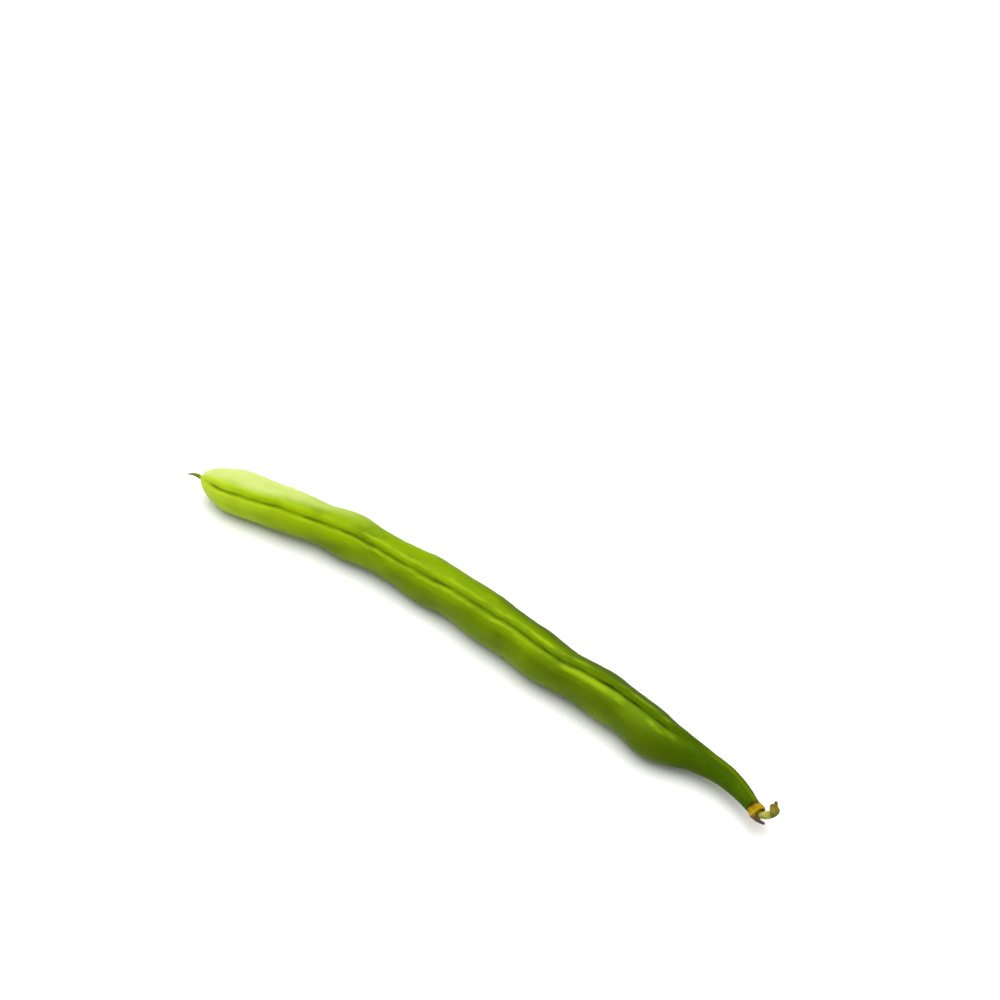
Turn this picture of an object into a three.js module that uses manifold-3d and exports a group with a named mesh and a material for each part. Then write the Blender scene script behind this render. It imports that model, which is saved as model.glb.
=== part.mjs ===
// A green bean as picked, lying on its side: the pod with its beak, the dried calyx and the torn stalk.
// Millimetres, +Z up. The pod runs along +X from beak to stalk and bows towards +Y, over a surface at z = 0.
import * as THREE from "three";
import { mergeVertices } from "three/addons/utils/BufferGeometryUtils.js";
import Module from "manifold-3d";

// Driving dimensions. A station is a distance along the pod's chord from its blunt tip, in millimetres.
const POD_LENGTH = 133;
const BEAK_LENGTH = 2.6;
const BEAK_RADIUS = 0.46;
const BEAK_TIP_RADIUS = 0.16;
const NOSE_LENGTH = 8.5;
const FOOT_LENGTH = 0.8;
const FOOT_RADIUS = 0.85;

// The middle of the whole bean's bounding box, in stations and bow, so that the origin lies under it.
const MIDDLE_STATION = 67.8;
const MIDDLE_BOW = 4.15;

// How far the centre line bows sideways from the chord, as [station, millimetres].
const BOW = [
  [-2.6, -1.08], [0, -0.05], [8, 1.35], [20, 3.85], [34, 6], [50, 6.6], [60, 6.6], [70, 5.7], [77, 5.1],
  [84, 4.35], [95, 4.25], [103, 3.65], [111, 2.6], [119, 3.15], [126, 2.75], [130, 1.55], [133, 0.35],
];

// How high the centre line runs above the surface, as [station, millimetres].
const RISE = [
  [-2.6, 4.75], [-1.5, 5], [0, 4.55], [3, 4.3], [10, 4.45], [22, 4.65], [36, 4.6], [52, 4.5], [66, 4.7],
  [80, 4.65], [96, 4.55], [108, 4.35], [118, 4.05], [133, 4],
];

// The radius of the pod between its seeds, as [station, millimetres]: full, then drawn in to a slim neck.
const GIRTH = [
  [0, 3.95], [7, 4.2], [12, 4.3], [20, 4.45], [27, 4], [44, 4.15], [60, 4.45], [74, 4.5], [89, 4.15],
  [102, 4.15], [110, 4.1], [114, 3.6], [118, 2.8], [122, 2.3], [127, 1.95], [133, 1.36],
];

// How far the groove has turned from straight up towards -Y, as [station, degrees].
const GROOVE_TURN = [
  [-2.6, 47], [0, 47], [6, 47], [12, 46.5], [20, 41], [40, 29], [47, 29], [54, 30], [62, 24.5], [70, 19.5],
  [77, 14.5], [84, 12.5], [97, 1], [104, -3], [133, -6],
];

// The seeds under the skin: where each lies, and how far it swells the side towards -Y, the far side and
// the belly.
const SEEDS = [
  { station: 9.5, near: 0.1, far: 0.5, belly: 0.3 },
  { station: 33.5, near: 0.75, far: 0.85, belly: 0.1 },
  { station: 52.5, near: 0.55, far: 0.5, belly: 0.3 },
  { station: 67, near: 0.35, far: 0.3, belly: 0.1 },
  { station: 81.5, near: 0.5, far: 0.4, belly: 0.1 },
  { station: 96.5, near: 0.45, far: 0.55, belly: 0.1 },
  { station: 108.5, near: 0.85, far: 0.3, belly: 0.4 },
];
const SEED_REACH = 4.6;

// The groove: a trough with a raised lip on each side, which starts behind the beak and ends before the neck.
// Its depth and reach, the way out to the lip towards -Y, the lips' height and the reach of the lip towards -Y
// are [station, millimetres].
const GROOVE_DEPTH = [[0, 0.2], [52, 0.2], [72, 0.24], [84, 0.34], [97, 0.38], [119, 0.34]];
const GROOVE_REACH = [[0, 0.55], [52, 0.55], [80, 0.62], [97, 0.75], [119, 0.75]];
const NEAR_LIP = [[0, 1], [52, 0.95], [80, 1.15], [97, 1.5], [119, 1.6]];
const FAR_LIP = 1.2;
const LIP_HEIGHT = [[0, 0.12], [52, 0.12], [80, 0.14], [97, 0.2], [119, 0.2]];
const NEAR_LIP_REACH = [[0, 0.4], [60, 0.42], [85, 0.6], [100, 0.8], [119, 0.8]];
const FAR_LIP_REACH = 0.45;
const GROOVE_START = 0.3;
const GROOVE_END = 119;
const GROOVE_START_FADE = 4.5;
const GROOVE_END_FADE = 8;

// The back seam, opposite the groove, is only a faint crease.
const SEAM_DEPTH = 0.12;
const SEAM_REACH = 0.45;

// Where the pod's skin has its rings and its lines: close together at the beak, the nose and the groove.
const BEAK_RINGS = 5;
const NOSE_RINGS = 9;
const RING_SPACING = 1.5;
const GROOVE_LINES = [0, 3.5, 7, 10.5, 14, 17.5, 21, 25, 31, 39];
const SIDE_LINES_FROM = 50;
const SIDE_LINES_TO = 170;
const SIDE_LINE_SPACING = 12;

// The calyx: a dry cup over the foot of the pod, open again round the stalk. Its profile is [distance along the
// neck, radius], from the floor of its front hollow over the outside to the floor of its back hollow.
const CALYX_PROFILE = [
  [0.95, 0], [0.95, 1], [0.15, 1], [0.15, 1.3], [0.5, 1.4], [1.1, 1.47], [1.7, 1.46], [2.25, 1.36],
  [2.3, 1.14], [1.95, 0.94], [1.65, 0.84], [1.65, 0],
];
const CALYX_SIDES = 40;
const CALYX_RIBS = 5;
const RIB_HEIGHT = 0.04;
const LOBE_LENGTH = 0.3;
const LOBE_START = 1.1;
const LOBE_ANGLE = -1.9;
const RIM_DISTANCE = 2.3;

// The one sepal that is left, dried to a horn along the lower side of the calyx, in the neck's own frame.
const SEPAL_PATH = [[1.05, -1.1, 0.1], [2.1, -1.3, 0.15], [3.2, -1.05, 0.1], [4.3, -0.3, -0.2]];
const SEPAL_WIDTH = [[0, 0.3], [0.08, 0.46], [0.4, 0.4], [0.85, 0.28], [0.97, 0.2], [1, 0.1]];

// The stalk, bent aside from the calyx and then up, torn off in two prongs, in the neck's own frame.
const STALK_PATH = [
  [1.8, 0, 0], [2.3, 0.05, 0.03], [3, 0.7, 0.28], [3.6, 1.45, 0.65], [3.8, 1.95, 1.35], [3.83, 2.02, 2.5],
  [3.87, 2.12, 3.97],
];
const STALK_WIDTH = [
  [0, 0.6], [0.12, 0.64], [0.27, 0.76], [0.42, 0.68], [0.58, 0.86], [0.8, 0.52], [1, 0.26],
];
const STALK_LUMP = 0.07;
const PRONG_PATH = [[3.8, 1.7, 1.3], [3.78, 1.42, 2.4], [3.78, 1.24, 3.5]];
const PRONG_WIDTH = [[0, 0.6], [1, 0.34]];

const wasm = await Module();
wasm.setup();

// A smooth curve through the pairs of a table, read at one station.
function along(table, station) {
  const x = THREE.MathUtils.clamp(station, table[0][0], table.at(-1)[0]);
  const last = table.length - 2;
  const i = Math.min(last, table.findIndex((pair, n) => n > last || x < table[n + 1][0]));
  const slope = (n) => (table[n + 1][1] - table[n][1]) / (table[n + 1][0] - table[n][0]);
  const tangent = (n) => {
    if (n === 0) return slope(0);
    if (n > last) return slope(last);
    const before = table[n][0] - table[n - 1][0];
    const after = table[n + 1][0] - table[n][0];
    return (slope(n - 1) * after + slope(n) * before) / (before + after);
  };
  const width = table[i + 1][0] - table[i][0];
  const u = (x - table[i][0]) / width;
  return table[i][1] * (1 + 2 * u) * (1 - u) ** 2
    + table[i + 1][1] * u * u * (3 - 2 * u)
    + tangent(i) * width * u * (1 - u) ** 2
    + tangent(i + 1) * width * u * u * (u - 1);
}

// How steeply the centre line bows at a station, measured over a short step inside the pod's ends.
function bowSlope(station) {
  const step = 0.05;
  const inside = THREE.MathUtils.clamp(station, step - BEAK_LENGTH, POD_LENGTH - step);
  return (along(BOW, inside + step) - along(BOW, inside - step)) / (2 * step);
}

// A bell curve: 1 in the middle, near 0 beyond twice its reach.
function bell(distance, reach) {
  return Math.exp(-((distance / reach) ** 2));
}

// A share that climbs from 0 to 1 over a stretch.
function ramp(value, start, length) {
  return THREE.MathUtils.clamp((value - start) / length, 0, 1);
}

// The pod's radius without seeds and groove: an elliptical nose that runs out into the thin beak.
function plainRadius(station) {
  const left = 1 - ramp(station, 0, NOSE_LENGTH);
  const body = along(GIRTH, station) * Math.sqrt(1 - left * left);
  const beak = THREE.MathUtils.lerp(BEAK_TIP_RADIUS, BEAK_RADIUS, ramp(station, -BEAK_LENGTH, BEAK_LENGTH));
  return Math.hypot(body, station < NOSE_LENGTH ? beak : 0);
}

// The height of the skin over the plain radius at an arc distance from the groove's floor.
function grooveRelief(station, arc) {
  const share = ramp(station, GROOVE_START, GROOVE_START_FADE) * ramp(-station, -GROOVE_END, GROOVE_END_FADE);
  const near = bell(arc - along(NEAR_LIP, station), along(NEAR_LIP_REACH, station));
  const lips = near + bell(arc + FAR_LIP, FAR_LIP_REACH);
  const trough = along(GROOVE_DEPTH, station) * bell(arc, along(GROOVE_REACH, station));
  return share * (along(LIP_HEIGHT, station) * lips - trough);
}

// The swelling of the seeds at a station, turned by some angle from the groove and from straight up.
function seedRelief(station, fromGroove, fromTop) {
  const side = Math.sin(fromGroove) ** 2;
  const belly = Math.max(0, -Math.cos(fromTop)) ** 3;
  return SEEDS.reduce((sum, seed) => {
    const sideways = (fromGroove > 0 ? seed.near : seed.far) * side;
    return sum + bell(station - seed.station, SEED_REACH) * (sideways + seed.belly * belly);
  }, 0);
}

// One point of the pod's skin, by its station and its angle from the groove towards -Y.
function podPoint(station, fromGroove) {
  const fromTop = fromGroove + THREE.MathUtils.degToRad(along(GROOVE_TURN, station));
  const plain = plainRadius(station);
  const fromSeam = plain * (Math.PI - Math.abs(fromGroove));
  const radius = plain
    + seedRelief(station, fromGroove, fromTop)
    + grooveRelief(station, plain * fromGroove)
    - SEAM_DEPTH * ramp(station, GROOVE_START, GROOVE_START_FADE) * bell(fromSeam, SEAM_REACH);
  return onSection(station, radius, fromTop);
}

// A point at a radius and an angle from straight up, on the section that stands across the centre line. Skin
// that would sink below the surface is pressed flat on it.
function onSection(station, radius, fromTop) {
  const slope = bowSlope(station);
  const unit = Math.hypot(1, slope);
  const sideways = radius * Math.sin(fromTop);
  return new THREE.Vector3(
    station + (sideways * slope) / unit - MIDDLE_STATION,
    along(BOW, station) - sideways / unit - MIDDLE_BOW,
    Math.max(0, along(RISE, station) + radius * Math.cos(fromTop)),
  );
}

// A closed skin over rings of points of one length, with a point in the middle of each end.
function skin(rings) {
  const sides = rings[0].length;
  const points = [middle(rings[0]), ...rings.flat(), middle(rings.at(-1))];
  const faces = [];
  for (let side = 0; side < sides; side += 1) {
    const next = (side + 1) % sides;
    faces.push(0, 1 + next, 1 + side);
    for (let ring = 0; ring < rings.length - 1; ring += 1) {
      const here = 1 + ring * sides;
      faces.push(here + side, here + next, here + sides + side);
      faces.push(here + next, here + sides + next, here + sides + side);
    }
    const end = 1 + (rings.length - 1) * sides;
    faces.push(points.length - 1, end + side, end + next);
  }
  const geometry = new THREE.BufferGeometry().setFromPoints(points);
  geometry.setIndex(faces);
  geometry.computeVertexNormals();
  return geometry;
}

function middle(points) {
  return points.reduce((sum, point) => sum.add(point), new THREE.Vector3()).divideScalar(points.length);
}

// The stations of the pod's rings: even along the beak, even round the nose's curve, then even to the neck.
function podStations() {
  const beak = Array.from({ length: BEAK_RINGS }, (_, n) => BEAK_LENGTH * (n / BEAK_RINGS - 1));
  const nose = Array.from({ length: NOSE_RINGS }, (_, n) => (
    NOSE_LENGTH * (1 - Math.cos((n / NOSE_RINGS) * (Math.PI / 2)))
  ));
  const count = Math.round((POD_LENGTH - NOSE_LENGTH) / RING_SPACING);
  const body = Array.from({ length: count + 1 }, (_, n) => (
    NOSE_LENGTH + (POD_LENGTH - NOSE_LENGTH) * (n / count)
  ));
  return [...beak, ...nose, ...body];
}

// The angles of the pod's lines from the groove, once round, in radians.
function podAngles() {
  const half = [...GROOVE_LINES];
  for (let line = SIDE_LINES_FROM; line <= SIDE_LINES_TO; line += SIDE_LINE_SPACING) half.push(line);
  const otherHalf = half.slice(1).reverse().map((line) => -line);
  return [...half, 180, ...otherHalf].map(THREE.MathUtils.degToRad);
}

// The slim foot of the pod inside the calyx.
function footRing(station, angles) {
  const turn = THREE.MathUtils.degToRad(along(GROOVE_TURN, POD_LENGTH));
  const slope = bowSlope(POD_LENGTH);
  const unit = Math.hypot(1, slope);
  const past = station - POD_LENGTH;
  return angles.map((angle) => {
    const sideways = FOOT_RADIUS * Math.sin(angle + turn);
    return new THREE.Vector3(
      POD_LENGTH + (past + sideways * slope) / unit - MIDDLE_STATION,
      along(BOW, POD_LENGTH) + (past * slope - sideways) / unit - MIDDLE_BOW,
      along(RISE, POD_LENGTH) + FOOT_RADIUS * Math.cos(angle + turn),
    );
  });
}

function podGeometry() {
  const angles = podAngles();
  const rings = podStations().map((station) => angles.map((angle) => podPoint(station, angle)));
  rings.push(footRing(POD_LENGTH, angles), footRing(POD_LENGTH + FOOT_LENGTH, angles));
  return skin(rings);
}

// A closed tube along a curve through points, with a radius for each share of its length and angle round it.
function tube(path, ringCount, sides, radiusAt) {
  const curve = new THREE.CatmullRomCurve3(path.map((point) => new THREE.Vector3(...point)));
  const frames = curve.computeFrenetFrames(ringCount - 1);
  const rings = Array.from({ length: ringCount }, (_, ring) => {
    const share = ring / (ringCount - 1);
    const centre = curve.getPointAt(share);
    return Array.from({ length: sides }, (__, side) => {
      const angle = (side / sides) * 2 * Math.PI;
      const radius = radiusAt(share, angle);
      return centre.clone()
        .addScaledVector(frames.normals[ring], radius * Math.cos(angle))
        .addScaledVector(frames.binormals[ring], radius * Math.sin(angle));
    });
  });
  return skin(rings);
}

// A geometry as a solid for joining, and a solid as a geometry for a mesh.
function toSolid(geometry) {
  const bare = new THREE.BufferGeometry();
  bare.setAttribute("position", geometry.getAttribute("position"));
  bare.setIndex(geometry.index);
  const merged = mergeVertices(bare, 1e-4);
  return new wasm.Manifold(new wasm.Mesh({
    numProp: 3,
    vertProperties: merged.getAttribute("position").array,
    triVerts: new Uint32Array(merged.index.array),
  }));
}

function toGeometry(solid) {
  const mesh = solid.getMesh();
  const geometry = new THREE.BufferGeometry();
  geometry.setAttribute("position", new THREE.BufferAttribute(mesh.vertProperties, 3));
  geometry.setIndex(new THREE.BufferAttribute(mesh.triVerts, 1));
  geometry.computeVertexNormals();
  return geometry;
}

// One point of the dry cup: low ribs along it, and a rim drawn out in uneven lobes.
function calyxPoint(distance, radius, angle) {
  const outwards = ramp(distance, LOBE_START, RIM_DISTANCE - LOBE_START);
  const lobe = LOBE_LENGTH * outwards * (Math.cos(angle - LOBE_ANGLE) + 0.3 * Math.cos(3 * angle));
  const rib = 1 + RIB_HEIGHT * Math.cos(CALYX_RIBS * angle) * ramp(radius, 1.1, 0.4);
  return new THREE.Vector3(
    distance + lobe * ramp(radius, 0.9, 0.2),
    radius * rib * Math.sin(angle),
    radius * rib * Math.cos(angle),
  );
}

// The dry cup round the neck, with the last sepal fused to its side.
function calyxGeometry() {
  const rings = CALYX_PROFILE.slice(1, -1).map(([distance, radius]) => (
    Array.from({ length: CALYX_SIDES }, (_, side) => (
      calyxPoint(distance, radius, (-side / CALYX_SIDES) * 2 * Math.PI)
    ))
  ));
  const cup = skin(rings);
  const sepal = tube(SEPAL_PATH, 16, 12, (share) => along(SEPAL_WIDTH, share));
  return toGeometry(toSolid(cup).add(toSolid(sepal)));
}

// The stalk's radius, with low lumps on its outer half.
function stalkRadius(share, angle) {
  const lumps = STALK_LUMP * ramp(share, 0.4, 0.2) * ramp(-share, -1, 0.1);
  return along(STALK_WIDTH, share) + lumps * Math.sin(3 * angle + 9 * share);
}

// The stalk with the second prong of its torn end.
function stalkGeometry() {
  const stalk = tube(STALK_PATH, 26, 20, stalkRadius);
  const prong = tube(PRONG_PATH, 10, 12, (share) => along(PRONG_WIDTH, share));
  return toGeometry(toSolid(stalk).add(toSolid(prong)));
}

function material(colour, roughness) {
  return new THREE.MeshStandardMaterial({ color: colour, roughness, metalness: 0 });
}

function piece(name, geometry, finish) {
  const mesh = new THREE.Mesh(geometry, finish);
  mesh.name = name;
  return mesh;
}

// The calyx and the stalk share a frame at the end of the neck, with +X along the neck.
function neckGroup() {
  const slope = bowSlope(POD_LENGTH);
  const group = new THREE.Group();
  group.position.set(
    POD_LENGTH - MIDDLE_STATION,
    along(BOW, POD_LENGTH) - MIDDLE_BOW,
    along(RISE, POD_LENGTH),
  );
  group.rotation.z = Math.atan(slope);
  group.add(piece("calyx", calyxGeometry(), material(0xc08c14, 0.75)));
  group.add(piece("stalk", stalkGeometry(), material(0xa9b04a, 0.7)));
  return group;
}

const greenBean = new THREE.Group();
greenBean.name = "green bean";
greenBean.add(piece("pod", podGeometry(), material(0x7fa310, 0.42)));
greenBean.add(neckGroup());

export default greenBean;
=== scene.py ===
"""A green bean lying on a pale floor: the pod, its dried calyx and its torn stalk, finished for close views.

Lengths are in millimetres in the tables and constants below, and are turned into metres where a mesh is made.
A station is a distance along the pod's chord from its blunt tip, as in the part's own source.
"""
import math

import bpy
import numpy as np
from mathutils import Matrix, Vector
from mathutils.noise import fractal


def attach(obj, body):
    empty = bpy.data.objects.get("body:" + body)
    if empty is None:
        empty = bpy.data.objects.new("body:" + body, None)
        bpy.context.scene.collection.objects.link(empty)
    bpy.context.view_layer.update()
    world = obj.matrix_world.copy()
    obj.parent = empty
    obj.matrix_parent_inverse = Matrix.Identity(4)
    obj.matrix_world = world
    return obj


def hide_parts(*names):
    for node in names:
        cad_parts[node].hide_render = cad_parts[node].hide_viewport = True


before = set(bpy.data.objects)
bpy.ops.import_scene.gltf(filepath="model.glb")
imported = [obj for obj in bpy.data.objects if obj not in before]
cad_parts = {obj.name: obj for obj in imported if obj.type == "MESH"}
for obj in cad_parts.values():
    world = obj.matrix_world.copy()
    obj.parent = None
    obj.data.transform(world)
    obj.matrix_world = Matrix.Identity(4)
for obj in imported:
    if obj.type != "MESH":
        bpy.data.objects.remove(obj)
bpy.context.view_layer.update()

MM = 0.001

# Driving dimensions of the pod, repeated from the part.
POD_LENGTH = 133
BEAK_LENGTH = 2.6
BEAK_RADIUS = 0.46
BEAK_TIP_RADIUS = 0.16
NOSE_LENGTH = 8.5
FOOT_LENGTH = 0.8
FOOT_RADIUS = 0.85
MIDDLE_STATION = 67.8
MIDDLE_BOW = 4.15

# How far the centre line bows sideways from the chord, as (station, millimetres).
BOW = (
    (-2.6, -1.08), (0, -0.05), (8, 1.35), (20, 3.85), (34, 6), (50, 6.6), (60, 6.6), (70, 5.7), (77, 5.1),
    (84, 4.35), (95, 4.25), (103, 3.65), (111, 2.6), (119, 3.15), (126, 2.75), (130, 1.55), (133, 0.35),
)

# How high the centre line runs above the floor, as (station, millimetres).
RISE = (
    (-2.6, 4.75), (-1.5, 5), (0, 4.55), (3, 4.3), (10, 4.45), (22, 4.65), (36, 4.6), (52, 4.5), (66, 4.7),
    (80, 4.65), (96, 4.55), (108, 4.35), (118, 4.05), (133, 4),
)

# The radius of the pod between its seeds, as (station, millimetres).
GIRTH = (
    (0, 3.95), (7, 4.2), (12, 4.3), (20, 4.45), (27, 4), (44, 4.15), (60, 4.45), (74, 4.5), (89, 4.15),
    (102, 4.15), (110, 4.1), (114, 3.6), (118, 2.8), (122, 2.3), (127, 1.95), (133, 1.36),
)

# How far the groove has turned from straight up towards -Y, as (station, degrees).
GROOVE_TURN = (
    (-2.6, 47), (0, 47), (6, 47), (12, 46.5), (20, 41), (40, 29), (47, 29), (54, 30), (62, 24.5), (70, 19.5),
    (77, 14.5), (84, 12.5), (97, 1), (104, -3), (133, -6),
)

# The seeds: station, and how far each swells the side towards -Y, the far side and the belly.
SEEDS = (
    (9.5, 0.1, 0.5, 0.3),
    (33.5, 0.75, 0.85, 0.1),
    (52.5, 0.55, 0.5, 0.3),
    (67, 0.35, 0.3, 0.1),
    (81.5, 0.5, 0.4, 0.1),
    (96.5, 0.45, 0.55, 0.1),
    (108.5, 0.85, 0.3, 0.4),
)
SEED_REACH = 4.6

# The groove, its lips and the faint back seam.
GROOVE_DEPTH = ((0, 0.2), (52, 0.2), (72, 0.24), (84, 0.34), (97, 0.38), (119, 0.34))
GROOVE_REACH = ((0, 0.55), (52, 0.55), (80, 0.62), (97, 0.75), (119, 0.75))
NEAR_LIP = ((0, 1.0), (52, 0.95), (80, 1.15), (97, 1.5), (119, 1.6))
FAR_LIP = 1.2
LIP_HEIGHT = ((0, 0.12), (52, 0.12), (80, 0.14), (97, 0.2), (119, 0.2))
NEAR_LIP_REACH = ((0, 0.4), (60, 0.42), (85, 0.6), (100, 0.8), (119, 0.8))
FAR_LIP_REACH = 0.45
GROOVE_START = 0.3
GROOVE_END = 119
GROOVE_START_FADE = 4.5
GROOVE_END_FADE = 8
SEAM_DEPTH = 0.12
SEAM_REACH = 0.45

# The fine crease on the groove's floor, the slow waves of a grown skin and the wander of the groove.
CREASE_DEPTH = 0.06
CREASE_REACH = 0.16
WAVE_HEIGHT = 0.035
GROOVE_WOBBLE = 0.1

# The painted shade along the groove: its width as a share of the groove's reach, the reach of the darker
# painted shade on the crease within it, and how far both are shifted towards -Y, to the trough's shaded side.
GROOVE_LINE = 0.7
CREASE_LINE = 0.3
LINE_SHIFT = 0.1

# How many rings and lines the pod's skin has, and how close the lines lie at the groove, as a share of
# even spacing.
BEAK_RINGS = 14
NOSE_RINGS = 34
BODY_RINGS = 500
SKIN_LINES = 160
LINES_EVEN = 0.45

# The calyx, as (distance along the neck, radius) from its front hollow over the outside to its back hollow.
CALYX_PROFILE = (
    (0.95, 0), (0.95, 1), (0.15, 1), (0.15, 1.3), (0.5, 1.4), (1.1, 1.47), (1.7, 1.46), (2.25, 1.36),
    (2.3, 1.14), (1.95, 0.94), (1.65, 0.84), (1.65, 0),
)
CALYX_RIBS = 5
RIB_HEIGHT = 0.04
LOBE_LENGTH = 0.3
LOBE_START = 1.1
LOBE_ANGLE = -1.9
RIM_DISTANCE = 2.3

# The sides of the calyx's fine mesh, and its steps between two corners of the profile.
CALYX_SIDES = 120
CALYX_STEPS = 6

# The last sepal and the two-pronged stalk in the neck's own frame, and their radii as (share of length, mm).
SEPAL_PATH = ((1.05, -1.1, 0.1), (2.1, -1.3, 0.15), (3.2, -1.05, 0.1), (4.3, -0.3, -0.2))
SEPAL_WIDTH = ((0, 0.3), (0.08, 0.46), (0.4, 0.4), (0.85, 0.28), (0.97, 0.2), (1, 0.1))
STALK_PATH = (
    (1.8, 0, 0), (2.3, 0.05, 0.03), (3, 0.7, 0.28), (3.6, 1.45, 0.65), (3.8, 1.95, 1.35), (3.83, 2.02, 2.5),
    (3.87, 2.12, 3.97),
)
STALK_WIDTH = ((0, 0.6), (0.12, 0.64), (0.27, 0.76), (0.42, 0.68), (0.58, 0.86), (0.8, 0.52), (1, 0.26))
STALK_LUMP = 0.07
PRONG_PATH = ((3.8, 1.7, 1.3), (3.78, 1.42, 2.4), (3.78, 1.24, 3.5))
PRONG_WIDTH = ((0, 0.6), (1, 0.34))

# The steps of a smooth curve between two knots, and those along a whole path to find what lies nearest.
CURVE_STEPS = 60
NEAREST_STEPS = 120

# How often the dry parts are smoothed, how fine they are, and how deep their wrinkles and torn ends go.
SMOOTHING = 4
VOXEL = 0.045
WRINKLE_DEPTH = 0.045
FIBRE_DEPTH = 0.02
TEAR_DEPTH = 0.3

# The photograph's view: where the camera looks on the floor, from which side, how high and how far away.
AIM_X = -20.82
AIM_Y = 31.31
VIEW_AZIMUTH = 38.74
VIEW_ELEVATION = 45
VIEW_DISTANCE = 605
LENS = 110
SENSOR = 36
CLIP_START = 0.01

# The light: a large soft key from behind the beak's end, over an even bright room.
KEY_AZIMUTH = 235
KEY_ELEVATION = 79
KEY_SOFTNESS = 75
KEY_STRENGTH = 2.85
KEY_COLOUR = (1.0, 1.0, 0.98)
ZENITH_STRENGTH = 0.9
LOW_STRENGTH = 0.15
WALL_STRENGTH = 1

# The room's wall is even up to the first height and gone at the second, as sines of angles above the horizon.
WALL_TOP = 0.15
WALL_FADE_TOP = 0.25

# The floor: its side in metres, and how far it lies below the bean in millimetres.
FLOOR_SIZE = 8
FLOOR_GAP = 0.01


def along(table, station):
    """A smooth curve through the pairs of a table, read at an array of stations."""
    knots, values = np.array(table, float).T
    gaps = np.diff(knots)
    slopes = np.diff(values) / gaps
    tangents = np.empty(len(knots))
    tangents[0] = slopes[0]
    tangents[-1] = slopes[-1]
    tangents[1:-1] = (slopes[:-1] * gaps[1:] + slopes[1:] * gaps[:-1]) / (gaps[1:] + gaps[:-1])
    x = np.clip(station, knots[0], knots[-1])
    i = np.clip(np.searchsorted(knots, x, side="right") - 1, 0, len(gaps) - 1)
    u = (x - knots[i]) / gaps[i]
    return (
        values[i] * (1 + 2 * u) * (1 - u) ** 2
        + values[i + 1] * u * u * (3 - 2 * u)
        + tangents[i] * gaps[i] * u * (1 - u) ** 2
        + tangents[i + 1] * gaps[i] * u * u * (u - 1)
    )


def bow_slope(station):
    """How steeply the centre line bows, measured over a short step inside the pod's ends."""
    step = 0.05
    inside = np.clip(station, step - BEAK_LENGTH, POD_LENGTH - step)
    return (along(BOW, inside + step) - along(BOW, inside - step)) / (2 * step)


def bell(distance, reach):
    """A bell curve: 1 in the middle, near 0 beyond twice its reach."""
    return np.exp(-((distance / reach) ** 2))


def ramp(value, start, length):
    """A share that climbs from 0 to 1 over a stretch."""
    return np.clip((value - start) / length, 0, 1)


def plain_radius(station):
    """The pod's radius without seeds and groove: an elliptical nose that runs out into the thin beak."""
    left = 1 - ramp(station, 0, NOSE_LENGTH)
    body = along(GIRTH, station) * np.sqrt(1 - left * left)
    beak = BEAK_TIP_RADIUS + (BEAK_RADIUS - BEAK_TIP_RADIUS) * ramp(station, -BEAK_LENGTH, BEAK_LENGTH)
    return np.hypot(body, np.where(station < NOSE_LENGTH, beak, 0))


def groove_share(station):
    """How deep the groove is at a station, from 0 at its ends to 1."""
    start = ramp(station, GROOVE_START, GROOVE_START_FADE)
    end = ramp(-station, -GROOVE_END, GROOVE_END_FADE)
    return start * end


def groove_relief(station, arc):
    """The height of the skin over the plain radius at an arc distance from the groove's floor."""
    lips = along(LIP_HEIGHT, station) * near_lips(station, arc)
    trough = along(GROOVE_DEPTH, station) * bell(arc, along(GROOVE_REACH, station))
    return groove_share(station) * (lips - trough - CREASE_DEPTH * bell(arc, CREASE_REACH))


def near_lips(station, arc):
    """How near a point is to the crest of a lip, from 0 to 1."""
    near = bell(arc - along(NEAR_LIP, station), along(NEAR_LIP_REACH, station))
    return near + bell(arc + FAR_LIP, FAR_LIP_REACH)


def seed_relief(station, from_groove, from_top):
    """The swelling of the seeds, turned by some angle from the groove and from straight up."""
    side = np.sin(from_groove) ** 2
    belly = np.clip(-np.cos(from_top), 0, 1) ** 3
    total = 0
    for seed, near, far, low in SEEDS:
        sideways = np.where(from_groove > 0, near, far) * side
        total = total + bell(station - seed, SEED_REACH) * (sideways + low * belly)
    return total


def skin_waves(station, angle):
    """Slow shallow waves, from sines that never line up, so that no two stretches of skin are alike."""
    long_waves = np.sin(0.83 * station + 2 * angle) * np.sin(0.31 * station - angle + 1.3)
    short_waves = np.sin(1.71 * station - 3 * angle + 0.7) * np.sin(0.57 * station + 4 * angle)
    return WAVE_HEIGHT * (long_waves + 0.6 * short_waves) * ramp(station, 0, NOSE_LENGTH)


def groove_wobble(station):
    """How far the groove strays from its smooth course, in millimetres."""
    slow = np.sin(0.55 * station + 1) * np.sin(0.23 * station)
    return GROOVE_WOBBLE * (slow + 0.4 * np.sin(1.7 * station) * np.sin(0.31 * station + 1))


def pod_points(station, from_groove):
    """The pod's skin at arrays of stations and of angles from the groove towards -Y."""
    from_top = from_groove + np.radians(along(GROOVE_TURN, station))
    plain = plain_radius(station)
    from_seam = plain * (np.pi - np.abs(from_groove))
    seam = SEAM_DEPTH * ramp(station, GROOVE_START, GROOVE_START_FADE) * bell(from_seam, SEAM_REACH)
    radius = (
        plain
        + seed_relief(station, from_groove, from_top)
        + groove_relief(station, plain * from_groove + groove_wobble(station))
        + skin_waves(station, from_groove)
        - seam
    )
    slope = bow_slope(station)
    unit = np.hypot(1, slope)
    sideways = radius * np.sin(from_top)
    return np.stack([
        station + sideways * slope / unit - MIDDLE_STATION,
        along(BOW, station) - sideways / unit - MIDDLE_BOW,
        np.maximum(0, along(RISE, station) + radius * np.cos(from_top)),
    ], axis=-1)


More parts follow.
